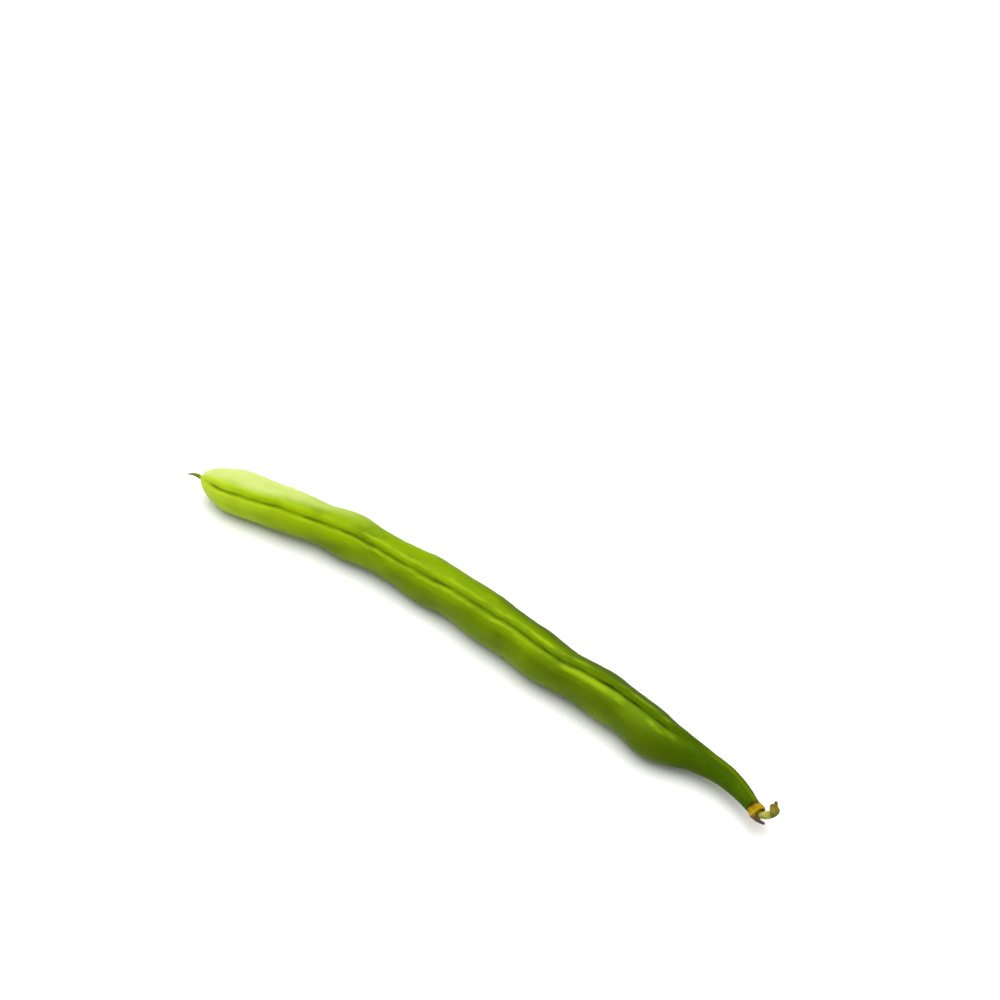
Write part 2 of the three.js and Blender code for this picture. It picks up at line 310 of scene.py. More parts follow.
def pod_stations():
    """The stations of the pod's rings: even on the beak, round the nose's curve, and on to the neck."""
    beak = np.linspace(-BEAK_LENGTH, 0, BEAK_RINGS, endpoint=False)
    nose = NOSE_LENGTH * (1 - np.cos(np.linspace(0, np.pi / 2, NOSE_RINGS, endpoint=False)))
    body = np.linspace(NOSE_LENGTH, POD_LENGTH, BODY_RINGS)
    return np.concatenate([beak, nose, body])


def pod_angles():
    """The angles of the pod's lines once round, drawn close together at the groove."""
    even = np.linspace(-1, 1, SKIN_LINES, endpoint=False)
    return np.pi * (LINES_EVEN * even + (1 - LINES_EVEN) * even ** 3)


def foot_ring(past, angles):
    """The slim foot of the pod inside the calyx, some way past the pod's shoulder."""
    end = np.float64(POD_LENGTH)
    slope = bow_slope(end)
    unit = np.hypot(1, slope)
    from_top = angles + np.radians(along(GROOVE_TURN, end))
    sideways = FOOT_RADIUS * np.sin(from_top)
    return np.stack([
        POD_LENGTH + (past + sideways * slope) / unit - MIDDLE_STATION,
        along(BOW, end) + (past * slope - sideways) / unit - MIDDLE_BOW,
        along(RISE, end) + FOOT_RADIUS * np.cos(from_top),
    ], axis=-1)


def skin(rings):
    """Points and faces of a closed skin over rings of points, with a point in the middle of each end."""
    count, sides = rings.shape[:2]
    ends = rings[[0, -1]].mean(axis=1)
    points = np.concatenate([ends[:1], rings.reshape(-1, 3), ends[1:]])
    here = 1 + np.arange(count - 1)[:, None] * sides + np.arange(sides)
    beside = 1 + np.arange(count - 1)[:, None] * sides + (np.arange(sides) + 1) % sides
    quads = np.stack([here, beside, beside + sides, here + sides], axis=-1).reshape(-1, 4)
    first = [(0, int(b), int(a)) for a, b in zip(here[0], beside[0])]
    last = [(len(points) - 1, int(a) + sides, int(b) + sides) for a, b in zip(here[-1], beside[-1])]
    return points, first + quads.tolist() + last


def add_piece(name, points, faces):
    """A smooth mesh object, from points in millimetres."""
    mesh = bpy.data.meshes.new(name)
    mesh.from_pydata((points * MM).tolist(), [], faces)
    mesh.shade_smooth()
    piece = bpy.data.objects.new(name, mesh)
    bpy.context.scene.collection.objects.link(piece)
    return piece


def mark(piece, name, values):
    """Keeps one number for each vertex of a piece, for its material to read."""
    attribute = piece.data.attributes.new(name, "FLOAT", "POINT")
    attribute.data.foreach_set("value", np.asarray(values, np.float32).ravel())


def with_ends(values):
    """Values for the rings of a skin, with the end points given the value of their own ring's mean."""
    return np.concatenate([[values[0].mean()], values.ravel(), [values[-1].mean()]])


def pod_piece():
    """The pod, with what its skin needs to know at each point: where it is and how near to the groove."""
    stations, angles = np.meshgrid(pod_stations(), pod_angles(), indexing="ij")
    feet = [foot_ring(past, angles[0]) for past in (0, FOOT_LENGTH)]
    piece = add_piece("pod_skin", *skin(np.concatenate([pod_points(stations, angles), feet])))
    stations = np.concatenate([stations, np.full((2, SKIN_LINES), POD_LENGTH)])
    angles = np.concatenate([angles, angles[:2]])
    plain = plain_radius(stations)
    arc = plain * angles + groove_wobble(stations)
    straight = [stations, plain * np.sin(angles), plain * np.cos(angles)]
    for name, values in zip(("along", "across", "over"), straight):
        mark(piece, name, with_ends(values))
    # The line and crease marks place the painted shade along the groove, shifted towards -Y to the trough's
    # shaded side.
    width = GROOVE_LINE * (1 + 0.2 * np.sin(1.1 * stations) * np.sin(0.37 * stations + 2))
    line = bell(arc - LINE_SHIFT, width * along(GROOVE_REACH, stations))
    mark(piece, "line", with_ends(groove_share(stations) * line))
    mark(piece, "crease", with_ends(groove_share(stations) * bell(arc - LINE_SHIFT, CREASE_LINE)))
    # The lips mark places the painted highlight on the lips.
    mark(piece, "lips", with_ends(groove_share(stations) * near_lips(stations, arc)))
    mark(piece, "seam", with_ends(bell(plain * (np.pi - np.abs(angles)), SEAM_REACH)))
    # The marks below place more painted light and shade: swell the highlight on the seeds; under, flank,
    # behind and beyond the shade on the belly, the flank, the far side and the far lip; behind also the sheen
    # on the top and the highlight along the neck; beside the highlight near the nose.
    swell = sum(bell(stations - seed[0], SEED_REACH) for seed in SEEDS) * np.sin(angles) ** 2
    mark(piece, "swell", with_ends(swell))
    from_top = angles + np.radians(along(GROOVE_TURN, stations))
    mark(piece, "under", with_ends((1 - np.cos(from_top)) / 2))
    mark(piece, "flank", with_ends(ramp(arc - along(NEAR_LIP, stations), 0.3, 1.5)))
    mark(piece, "behind", with_ends((1 - np.sin(from_top)) / 2))
    mark(piece, "beside", with_ends(ramp(arc, 0.2, 0.5) * ramp(-arc, -4.5, 3.5)))
    mark(piece, "beyond", with_ends(ramp(-arc, 0.2, 0.6)))
    return piece


def curve_through(points, count):
    """Points evenly spaced along a smooth curve through a few points."""
    knots = np.array(points, float)
    knots = np.vstack([2 * knots[0] - knots[1], knots, 2 * knots[-1] - knots[-2]])
    fine = []
    for a, b, c, d in zip(knots, knots[1:], knots[2:], knots[3:]):
        gaps = [math.sqrt(np.linalg.norm(end - start)) for start, end in ((a, b), (b, c), (c, d))]
        leave = ((b - a) / gaps[0] - (c - a) / (gaps[0] + gaps[1]) + (c - b) / gaps[1]) * gaps[1]
        arrive = ((c - b) / gaps[1] - (d - b) / (gaps[1] + gaps[2]) + (d - c) / gaps[2]) * gaps[1]
        u = np.linspace(0, 1, CURVE_STEPS, endpoint=False)[:, None]
        fine.append(
            b * (1 + 2 * u) * (1 - u) ** 2
            + c * u * u * (3 - 2 * u)
            + leave * u * (1 - u) ** 2
            + arrive * u * u * (u - 1)
        )
    fine = np.vstack([*fine, knots[-2]])
    walked = np.concatenate([[0], np.cumsum(np.linalg.norm(np.diff(fine, axis=0), axis=1))])
    even = np.linspace(0, walked[-1], count)
    return np.stack([np.interp(even, walked, fine[:, axis]) for axis in range(3)], axis=-1)


def tube_rings(path, count, sides, radius_at):
    """Rings along a curve, with a radius for each share of its length and angle round it."""
    centres = curve_through(path, count)
    tangents = np.gradient(centres, axis=0)
    tangents /= np.linalg.norm(tangents, axis=1)[:, None]
    side = Vector((0, 0, 1)).cross(Vector(tangents[0])).normalized()
    angles = np.linspace(0, 2 * np.pi, sides, endpoint=False)
    rings = []
    for n, (centre, tangent) in enumerate(zip(centres, tangents)):
        side = (side - Vector(tangent) * side.dot(Vector(tangent))).normalized()
        up = np.cross(tangent, side)
        radius = radius_at(n / (count - 1), angles)[:, None]
        outwards = np.cos(angles)[:, None] * np.array(side) + np.sin(angles)[:, None] * up
        rings.append(centre + radius * outwards)
    return np.array(rings)


def calyx_rings():
    """The dry cup: low ribs along it, and a rim drawn out in uneven lobes."""
    corners = np.array([(*corner, 0) for corner in CALYX_PROFILE[1:-1]], float)
    profile = np.concatenate([
        np.linspace(start, end, CALYX_STEPS, endpoint=False) for start, end in zip(corners, corners[1:])
    ] + [corners[-1:]])
    distance = profile[:, :1]
    radius = profile[:, 1:2]
    angle = -np.linspace(0, 2 * np.pi, CALYX_SIDES, endpoint=False)
    outwards = ramp(distance, LOBE_START, RIM_DISTANCE - LOBE_START)
    lobe = LOBE_LENGTH * outwards * (np.cos(angle - LOBE_ANGLE) + 0.3 * np.cos(3 * angle))
    rib = 1 + RIB_HEIGHT * np.cos(CALYX_RIBS * angle) * ramp(radius, 1.1, 0.4)
    return np.stack([
        distance + lobe * ramp(radius, 0.9, 0.2),
        radius * rib * np.sin(angle),
        radius * rib * np.cos(angle),
    ], axis=-1)


def stalk_radius(share, angle):
    """The stalk's radius, with low lumps on its outer half."""
    lumps = STALK_LUMP * ramp(share, 0.4, 0.2) * ramp(-share, -1, 0.1)
    return along(STALK_WIDTH, share) + lumps * np.sin(3 * angle + 9 * share)


def melted(shells):
    """Closed skins that cross each other, melted into one fine even mesh: its points, normals and faces."""
    mesh = bpy.data.meshes.new("rough")
    starts = np.cumsum([0] + [len(points) for points, faces in shells])
    faces = [[start + n for n in face] for start, shell in zip(starts, shells) for face in shell[1]]
    mesh.from_pydata(np.concatenate([points for points, _ in shells]).tolist(), [], faces)
    rough = bpy.data.objects.new("rough", mesh)
    bpy.context.scene.collection.objects.link(rough)
    remesh = rough.modifiers.new("remesh", "REMESH")
    remesh.mode = "VOXEL"
    remesh.voxel_size = VOXEL
    smooth = rough.modifiers.new("smooth", "SMOOTH")
    smooth.iterations = SMOOTHING
    fine = bpy.data.meshes.new_from_object(rough.evaluated_get(bpy.context.evaluated_depsgraph_get()))
    points = np.empty(len(fine.vertices) * 3)
    normals = np.empty(len(fine.vertices) * 3)
    fine.vertices.foreach_get("co", points)
    fine.vertices.foreach_get("normal", normals)
    faces = [list(face.vertices) for face in fine.polygons]
    bpy.data.objects.remove(rough)
    bpy.data.meshes.remove(mesh)
    bpy.data.meshes.remove(fine)
    return points.reshape(-1, 3), normals.reshape(-1, 3), faces


def wander(points, scale, octaves=3):
    """Noise between about -1 and 1 at each point, which drifts over the length of a scale in millimetres."""
    size = np.broadcast_to(scale, 3)
    return np.array([fractal(Vector(point), 1, 2, octaves) for point in (points / size).tolist()])


def to_row(points):
    """Points of the neck's own frame, in the part's frame."""
    end = np.float64(POD_LENGTH)
    turn = math.atan(bow_slope(end))
    place = Vector((POD_LENGTH - MIDDLE_STATION, along(BOW, end) - MIDDLE_BOW, along(RISE, end)))
    matrix = Matrix.Translation(place) @ Matrix.Rotation(turn, 4, "Z")
    return points @ np.array(matrix.to_3x3()).T + np.array(matrix.translation)


def nearest(points, path, count=NEAREST_STEPS):
    """For each point, the share of a path's length that lies nearest, and how far away it lies."""
    samples = curve_through(path, count)
    gaps = np.linalg.norm(points[:, None] - samples[None], axis=2)
    return gaps.argmin(axis=1) / (count - 1), gaps.min(axis=1)


def calyx_piece():
    """The dry cup with its last sepal, ribbed and wrinkled."""
    sepal = tube_rings(SEPAL_PATH, 60, 32, lambda share, angles: along(SEPAL_WIDTH, share + 0 * angles))
    points, normals, faces = melted([skin(calyx_rings()), skin(sepal)])
    share, away = nearest(points, SEPAL_PATH)
    on_sepal = ramp(-away, -0.62, 0.14) * ramp(share, 0.02, 0.25)
    outside = ramp(np.hypot(points[:, 1], points[:, 2]), 1.05, 0.2)
    wrinkles = WRINKLE_DEPTH * wander(points, (1.1, 0.35, 0.35))
    wrinkles = wrinkles + FIBRE_DEPTH * wander(points + 9, (0.9, 0.12, 0.12))
    ragged = TEAR_DEPTH * 0.5 * wander(points, (9, 0.3, 0.3), 2) * ramp(points[:, 0], 1.6, 0.6) * outside
    moved = points + normals * (wrinkles * (0.35 + 0.65 * outside))[:, None]
    moved[:, 0] += ragged * (1 - on_sepal)
    piece = add_piece("calyx_husk", to_row(moved), faces)
    mark(piece, "sepal", share * on_sepal)
    mark(piece, "along", points[:, 0])
    mark(piece, "across", points[:, 1])
    mark(piece, "over", points[:, 2])
    mark(piece, "rim", bell(points[:, 0] - RIM_DISTANCE + 0.1, 0.28) * outside * (1 - on_sepal))
    mark(piece, "hollow", (1 - outside) * ramp(points[:, 0], 1.3, 0.3) * (1 - on_sepal))
    return piece


def stalk_piece():
    """The stalk, bent to a lumpy knob and torn off in two prongs."""
    stalk = tube_rings(STALK_PATH, 90, 48, stalk_radius)
    prong = tube_rings(PRONG_PATH, 40, 32, lambda share, angles: along(PRONG_WIDTH, share + 0 * angles))
    points, normals, faces = melted([skin(stalk), skin(prong)])
    share, away = nearest(points, STALK_PATH)
    prong_share, prong_away = nearest(points, PRONG_PATH)
    on_prong = ramp(away - prong_away, -0.1, 0.3) * ramp(prong_share, 0.25, 0.2)
    tip = np.maximum(ramp(share, 0.84, 0.14) * (1 - on_prong), ramp(prong_share, 0.72, 0.26) * on_prong)
    ridges = FIBRE_DEPTH * wander(points + 4, (0.14, 0.14, 0.14)) + WRINKLE_DEPTH * 0.7 * wander(points, 0.5)
    moved = points + normals * ridges[:, None]
    moved[:, 2] += TEAR_DEPTH * tip * wander(points, (0.13, 0.13, 3), 2)
    piece = add_piece("stalk_stub", to_row(moved), faces)
    mark(piece, "share", share)
    mark(piece, "prong", on_prong)
    mark(piece, "torn", tip)
    mark(piece, "along", points[:, 0])
    mark(piece, "across", points[:, 1])
    mark(piece, "over", points[:, 2])
    return piece


def srgb(red, green, blue):
    """A colour as a screen shows it, from 0 to 255, in the linear values that shaders take."""
    shares = [value / 255 for value in (red, green, blue)]
    return (*[v / 12.92 if v < 0.04045 else ((v + 0.055) / 1.055) ** 2.4 for v in shares], 1)


def new_material(name):
    """A material's node tree and its Principled shader."""
    made = bpy.data.materials.new(name)
    made.use_nodes = True
    return made, made.node_tree, made.node_tree.nodes["Principled BSDF"]


def put(tree, kind, inputs, **settings):
    """Adds a node. Each input is a value, or an output of another node."""
    made = tree.nodes.new(kind)
    for name, value in settings.items():
        setattr(made, name, value)
    for key, value in inputs.items():
        if isinstance(value, bpy.types.NodeSocket):
            tree.links.new(value, made.inputs[key])
        else:
            made.inputs[key].default_value = value
    return made


def marked(tree, name):
    """The numbers that mark() kept for a piece."""
    return put(tree, "ShaderNodeAttribute", {}, attribute_name=name).outputs["Fac"]


def straightened(tree):
    """Where a point lies in a frame that runs along its piece, in millimetres."""
    parts = {axis: marked(tree, name) for axis, name in zip("XYZ", ("along", "across", "over"))}
    return put(tree, "ShaderNodeCombineXYZ", parts).outputs["Vector"]


def noise(tree, place, lengths, detail=3.0, roughness=0.5):
    """Noise from 0 to 1 whose blotches have these lengths along and across a piece, in millimetres."""
    scales = [1 / length for length in lengths]
    scaled = put(tree, "ShaderNodeVectorMath", {0: place, 1: scales}, operation="MULTIPLY").outputs[0]
    inputs = {"Vector": scaled, "Scale": 1.0, "Detail": detail, "Roughness": roughness}
    return put(tree, "ShaderNodeTexNoise", inputs).outputs["Fac"]


def spots(tree, place, spacing, radius):
    """Round spots: 1 inside, 0 outside, one in each cell of a scattered grid."""
    inputs = {"Vector": place, "Scale": 1 / spacing, "Randomness": 1.0}
    distance = put(tree, "ShaderNodeTexVoronoi", inputs).outputs["Distance"]
    return fade(tree, distance, radius / spacing, 0.4 * radius / spacing)


def fade(tree, value, low, high, start=0.0, end=1.0):
    """Turns a stretch of values smoothly into another, and keeps to it beyond the ends."""
    inputs = {"Value": value, "From Min": low, "From Max": high, "To Min": start, "To Max": end}
    return put(tree, "ShaderNodeMapRange", inputs, interpolation_type="SMOOTHSTEP").outputs["Result"]


def maths(tree, operation, first, second):
    """One step of arithmetic on two numbers."""
    return put(tree, "ShaderNodeMath", {0: first, 1: second}, operation=operation).outputs[0]


def mix(tree, share, first, second):
    """Mixes two colours by a share."""
    made = put(tree, "ShaderNodeMix", {}, data_type="RGBA", blend_type="MIX")
    for n, value in ((0, share), (6, first), (7, second)):
        if isinstance(value, bpy.types.NodeSocket):
            tree.links.new(value, made.inputs[n])
        else:
            made.inputs[n].default_value = value
    return made.outputs[2]


def colours_along(tree, share, stops):
    """A colour that changes with a share, through stops of (share, colour)."""
    ramp_node = put(tree, "ShaderNodeValToRGB", {"Fac": share})
    elements = ramp_node.color_ramp.elements
    while len(elements) < len(stops):
        elements.new(0.5)
    for element, (position, colour) in zip(elements, stops):
        element.position = position
        element.color = colour
    return ramp_node.outputs["Color"]


def relief(tree, layers):
    """Bumps stacked on each other, from pairs of a height from 0 to 1 and its depth in millimetres."""
    normal = None
    for height, depth in layers:
        inputs = {"Height": height, "Distance": depth * MM, "Strength": 1.0}
        if normal is not None:
            inputs["Normal"] = normal
        normal = put(tree, "ShaderNodeBump", inputs).outputs["Normal"]
    return normal


def finish_shader(tree, shader, colour, roughness, normal):
    """Gives a shader its colour, its roughness and its relief."""
    tree.links.new(colour, shader.inputs["Base Color"])
    tree.links.new(roughness, shader.inputs["Roughness"])
    tree.links.new(normal, shader.inputs["Normal"])


# The colours, as a screen shows them. Those in a table belong to shares of the piece's length.
FLOOR_DIM = srgb(240, 240, 239)
FLOOR_BRIGHT = srgb(244, 244, 243)
POD_COLOURS = (
    (0.0, srgb(174, 196, 34)), (0.08, srgb(160, 188, 12)), (0.16, srgb(142, 170, 4)),
    (0.3, srgb(118, 146, 0)), (0.5, srgb(110, 140, 0)), (0.72, srgb(96, 126, 0)),
    (0.82, srgb(82, 112, 0)), (0.89, srgb(54, 80, 0)), (1.0, srgb(50, 77, 0)),
)
# The next colour is the skin's paler green in its blotches and veins, and also painted highlight on the
# seeds' swellings and in patches on the flank.
PALE_TONE_AND_HIGHLIGHT = srgb(146, 172, 4)
# The next colour is the skin's darker green in its blotches and veins, and also painted shade on the flank,
# the far side, the far lip and the belly.
DARK_TONE_AND_SHADE = srgb(60, 80, 0)
# The next colour is a painted sheen on the top of the pod towards the beak's end.
SUNLIT_SHEEN = srgb(188, 200, 120)
# The next colour is a painted highlight beside the groove near the nose.
NOSE_LIGHT = srgb(190, 208, 66)
# The next colour is a painted highlight along the neck's far side.
NECK_HIGHLIGHT = srgb(83, 103, 0)
# The next colour is a painted highlight on the groove's lips, and also the back seam's own pale colour.
LIP_HIGHLIGHT_AND_SEAM = srgb(152, 180, 20)
BEAK_OLIVE = srgb(98, 112, 20)
BEAK_TIP = srgb(140, 136, 108)
# The next two colours are painted shade along the groove and darker painted shade on its crease.
GROOVE_SHADE = srgb(48, 72, 0)
CREASE_SHADE = srgb(20, 32, 0)
PORE = srgb(166, 184, 60)
SCAR = srgb(90, 84, 20)
HUSK_GOLD = srgb(172, 134, 0)
# The next colour is the husk's own brown in its patches and fibres, and also painted shade on its lower side.
HUSK_BROWN_AND_SHADE = srgb(126, 102, 2)
HUSK_YELLOW = srgb(176, 154, 0)
HUSK_FRINGE = srgb(70, 52, 2)
# The next two colours are painted shade at the rim and in the hollow of the husk.
HUSK_RIM_SHADE = srgb(72, 56, 2)
HUSK_HOLLOW_SHADE = srgb(50, 36, 4)
SEPAL_COLOURS = (
    (0.0, srgb(146, 116, 52)), (0.3, srgb(104, 78, 36)), (0.6, srgb(72, 58, 48)), (1.0, srgb(80, 74, 74)),
)
# The darkest stop, at 0.54, is the knob's olive darkened with painted shade under the knob.
STALK_COLOURS = (
    (0.0, srgb(170, 170, 78)), (0.38, srgb(162, 162, 70)), (0.46, srgb(128, 130, 36)),
    (0.54, srgb(70, 72, 4)), (0.66, srgb(112, 110, 10)), (0.8, srgb(132, 124, 18)),
    (1.0, srgb(136, 122, 40)),
)
STALK_PALE = srgb(184, 180, 96)
PRONG_TAN = srgb(148, 132, 34)
# The next colour is the knob's own dark olive in its fibres, and also painted shade under the knob.
KNOB_DARK_AND_SHADE = srgb(56, 58, 2)
TORN_BROWN = srgb(100, 80, 26)

# How long the blotches of each noise are along and across a piece, in millimetres.
POD_CLOUDS = (7, 3.2, 3.2)
POD_VEINS = (4, 0.35, 0.35)
POD_FINE = (0.5, 0.22, 0.22)
POD_MOTTLE = (12, 5, 5)
LIP_BREAKS = (5, 2.5, 2.5)
LINE_BREAKS = (8, 2, 2)
CREASE_BREAKS = (3, 1, 1)
HUSK_PATCHES = (1.2, 0.8, 0.8)
HUSK_FIBRES = (1.6, 0.09, 0.09)
STALK_PATCHES = (0.8, 0.6, 0.6)
STALK_FIBRES = (0.25, 0.09, 0.5)
PAPER_GRAIN = (0.8, 0.8, 0.8)

# The spots of the skin, as (spacing, radius) in millimetres.
PORES = (0.8, 0.12)
SCARS = (11, 0.22)

# How deep the relief of each noise is, in millimetres.
CLOUD_RELIEF = 0.05
VEIN_RELIEF = 0.01
FINE_RELIEF = 0.008
PORE_RELIEF = 0.008
HUSK_PATCH_RELIEF = 0.06
STALK_PATCH_RELIEF = 0.08
DRY_FIBRE_RELIEF = 0.05
PAPER_RELIEF = 0.001

# Where along the pod its colours, its painted light and shade, and its gloss change, as stations from and to.
BLOTCHES_FADE = (92, 116)
DARK_BLOTCHES_GROW = (6, 40)
FLANK_DARKENS = (8, 36)
FLANK_DEEPENS = (74, 88)
MOTTLE_STARTS = (116, 104)
FAR_SIDE_DARKENS = (48, 78)
PALE_TOP_NARROWS = (12, 36)
PALE_TOP_STARTS = (44, 14)
NECK_HIGHLIGHT_GROWS = (117, 123)
FAR_LIP_DARKENS = (80, 98)
NOSE_LIGHT_STARTS = (24, 4)
GROOVE_DEEPENS = (70, 100)
BEAK_STARTS = (0.2, -0.5)
BEAK_TIP_STARTS = (-1.5, -2.5)
GLOSS_DULLS = (106, 118)


def pod_ground(tree, station, clouds, veins):
    """The skin's own green from beak to neck, with pale and dark blotches, fine veins and painted highlight
    on the seeds.
    """
    colour = colours_along(tree, maths(tree, "MULTIPLY", station, 1 / POD_LENGTH), POD_COLOURS)
    even = fade(tree, station, *BLOTCHES_FADE, 1, 0.15)
    pale_clouds = maths(tree, "MULTIPLY", fade(tree, clouds, 0.5, 0.75, 0, 0.42), even)
    colour = mix(tree, pale_clouds, colour, PALE_TONE_AND_HIGHLIGHT)
    dark_clouds = fade(tree, clouds, 0.5, 0.28, 0, 0.38)
    dark_clouds = maths(tree, "MULTIPLY", dark_clouds, fade(tree, station, *DARK_BLOTCHES_GROW, 0.4, 1))
    colour = mix(tree, dark_clouds, colour, DARK_TONE_AND_SHADE)
    pale_veins = maths(tree, "MULTIPLY", fade(tree, veins, 0.45, 0.68, 0, 0.1), even)
    colour = mix(tree, pale_veins, colour, PALE_TONE_AND_HIGHLIGHT)
    colour = mix(tree, fade(tree, veins, 0.5, 0.3, 0, 0.1), colour, DARK_TONE_AND_SHADE)
    # Painted highlight on the seeds' swellings.
    return mix(tree, fade(tree, marked(tree, "swell"), 0.35, 1, 0, 0.12), colour, PALE_TONE_AND_HIGHLIGHT)


def pod_sides(tree, colour, place, station, clouds):
    """Painted shade on the flanks, far side and belly, painted highlight and shade in patches on the flank, a
    painted sheen on the top at the beak's end and a painted highlight along the neck.
    """
    under = marked(tree, "under")
    behind = marked(tree, "behind")
    # Painted shade on the flank below the near lip, deeper towards the neck.
    flank = maths(tree, "MULTIPLY", marked(tree, "flank"), fade(tree, station, *FLANK_DARKENS, 0.1, 0.48))
    flank = maths(tree, "MULTIPLY", flank, fade(tree, station, *FLANK_DEEPENS, 1, 1.35))
    colour = mix(tree, flank, colour, DARK_TONE_AND_SHADE)
    # Painted highlight and painted shade in patches on the flank.
    mottle = noise(tree, place, POD_MOTTLE, 1.0)
    patches = maths(tree, "MULTIPLY", marked(tree, "flank"), fade(tree, station, *MOTTLE_STARTS))
    sunny = maths(tree, "MULTIPLY", patches, fade(tree, mottle, 0.45, 0.75, 0, 0.22))
    colour = mix(tree, sunny, colour, PALE_TONE_AND_HIGHLIGHT)
    shaded = maths(tree, "MULTIPLY", patches, fade(tree, mottle, 0.55, 0.3, 0, 0.2))
    colour = mix(tree, shaded, colour, DARK_TONE_AND_SHADE)
    # Painted shade on the far side.
    far_side = fade(tree, behind, 0.5, 0.86)
    far_side = maths(tree, "MULTIPLY", far_side, fade(tree, under, 0.5, 0.22, 0.35, 0.95))
    far_side = maths(tree, "MULTIPLY", far_side, fade(tree, station, *FAR_SIDE_DARKENS))
    colour = mix(tree, far_side, colour, DARK_TONE_AND_SHADE)
    # Painted shade on the belly.
    colour = mix(tree, fade(tree, under, 0.5, 0.85, 0, 0.25), colour, DARK_TONE_AND_SHADE)
    # Painted sheen on the top towards the beak's end.
    backwards = maths(tree, "SUBTRACT", behind, fade(tree, station, *PALE_TOP_NARROWS, 0, 0.3))
    sunlit = maths(tree, "MULTIPLY", fade(tree, backwards, 0.2, 0.42), fade(tree, under, 0.36, 0.12))
    sunlit = maths(tree, "MULTIPLY", sunlit, fade(tree, station, *PALE_TOP_STARTS))
    sunlit = maths(tree, "MULTIPLY", sunlit, fade(tree, clouds, 0.3, 0.7, 0.55, 0.95))
    colour = mix(tree, sunlit, colour, SUNLIT_SHEEN)
    # Painted highlight along the neck's far side.
    neck_highlight = maths(tree, "MULTIPLY", fade(tree, behind, 0.48, 0.62), fade(tree, behind, 0.88, 0.76))
    neck_highlight = maths(tree, "MULTIPLY", neck_highlight, fade(tree, station, *NECK_HIGHLIGHT_GROWS))
    return mix(tree, neck_highlight, colour, NECK_HIGHLIGHT)


def pod_groove(tree, colour, place, station):
    """Painted shade along the groove and its uneven crease, painted highlight on the lips in places and
    beside the groove at the nose, painted shade on the far lip, and the pale back seam.
    """
    # Painted highlight on the lips, broken into places.
    breaks = noise(tree, place, LIP_BREAKS, 2.0)
    lips = fade(tree, marked(tree, "lips"), 0.2, 1)
    lips = maths(tree, "MULTIPLY", lips, fade(tree, breaks, 0.38, 0.64, 0.05, 0.5))
    colour = mix(tree, lips, colour, LIP_HIGHLIGHT_AND_SEAM)
    # Painted shade on the far lip.
    far_lip = maths(tree, "MULTIPLY", marked(tree, "beyond"), fade(tree, station, *FAR_LIP_DARKENS, 0, 0.4))
    colour = mix(tree, far_lip, colour, DARK_TONE_AND_SHADE)
    # Painted highlight beside the groove near the nose.
    beside = maths(tree, "MULTIPLY", marked(tree, "beside"), fade(tree, station, *NOSE_LIGHT_STARTS, 0, 0.2))
    colour = mix(tree, beside, colour, NOSE_LIGHT)
    colour = mix(tree, fade(tree, marked(tree, "seam"), 0.2, 1, 0, 0.5), colour, LIP_HIGHLIGHT_AND_SEAM)
    # Painted shade along the groove, and darker painted shade on its crease.
    late = fade(tree, station, *GROOVE_DEEPENS)
    broken = noise(tree, place, LINE_BREAKS, 2.0)
    line = maths(tree, "MULTIPLY", marked(tree, "line"), fade(tree, late, 0, 1, 0.7, 0.95))
    line = maths(tree, "MULTIPLY", line, fade(tree, broken, 0.38, 0.58, 0.65, 1))
    colour = mix(tree, line, colour, GROOVE_SHADE)
    uneven = fade(tree, noise(tree, place, CREASE_BREAKS), 0.4, 0.62, 0.15, 1)
    crease = maths(tree, "MULTIPLY", fade(tree, marked(tree, "crease"), 0.2, 1), uneven)
    crease = maths(tree, "MULTIPLY", crease, fade(tree, broken, 0.38, 0.58, 0.2, 1))
    crease = maths(tree, "MULTIPLY", crease, fade(tree, late, 0, 1, 0.35, 1))
    return mix(tree, crease, colour, CREASE_SHADE)


def pod_specks(tree, colour, place, station, pores):
    """The olive beak with its dry tip, and the skin's pores and few small scars."""
    colour = mix(tree, fade(tree, station, *BEAK_STARTS), colour, BEAK_OLIVE)
    colour = mix(tree, fade(tree, station, *BEAK_TIP_STARTS), colour, BEAK_TIP)
    colour = mix(tree, maths(tree, "MULTIPLY", pores, 0.2), colour, PORE)
    scars = maths(tree, "MULTIPLY", spots(tree, place, *SCARS), 0.5)
    return mix(tree, scars, colour, SCAR)


